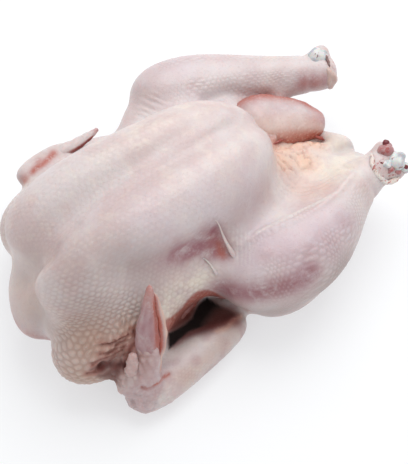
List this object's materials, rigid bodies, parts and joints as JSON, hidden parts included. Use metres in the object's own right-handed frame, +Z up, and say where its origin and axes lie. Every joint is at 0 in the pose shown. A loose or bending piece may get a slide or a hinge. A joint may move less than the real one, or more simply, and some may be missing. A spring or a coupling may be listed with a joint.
{
  "type": "whole raw chicken",
  "caption": "Whole raw plucked chicken lying on its back, breast up, with legs apart and wings folded at its sides, cut at neck and hocks.",
  "frame": {"origin": "centre of the bounding box's bottom face, on the level the bird rests on", "axes": "+X from neck to tail along the back, +Y to the bird's left, +Z up through the breast"},
  "size_m": [0.2918, 0.209, 0.1165],
  "materials": {
    "skin": "moist, satin"
  },
  "bodies": {
    "root": {"chicken": "skin"}
  },
  "joints": []
}
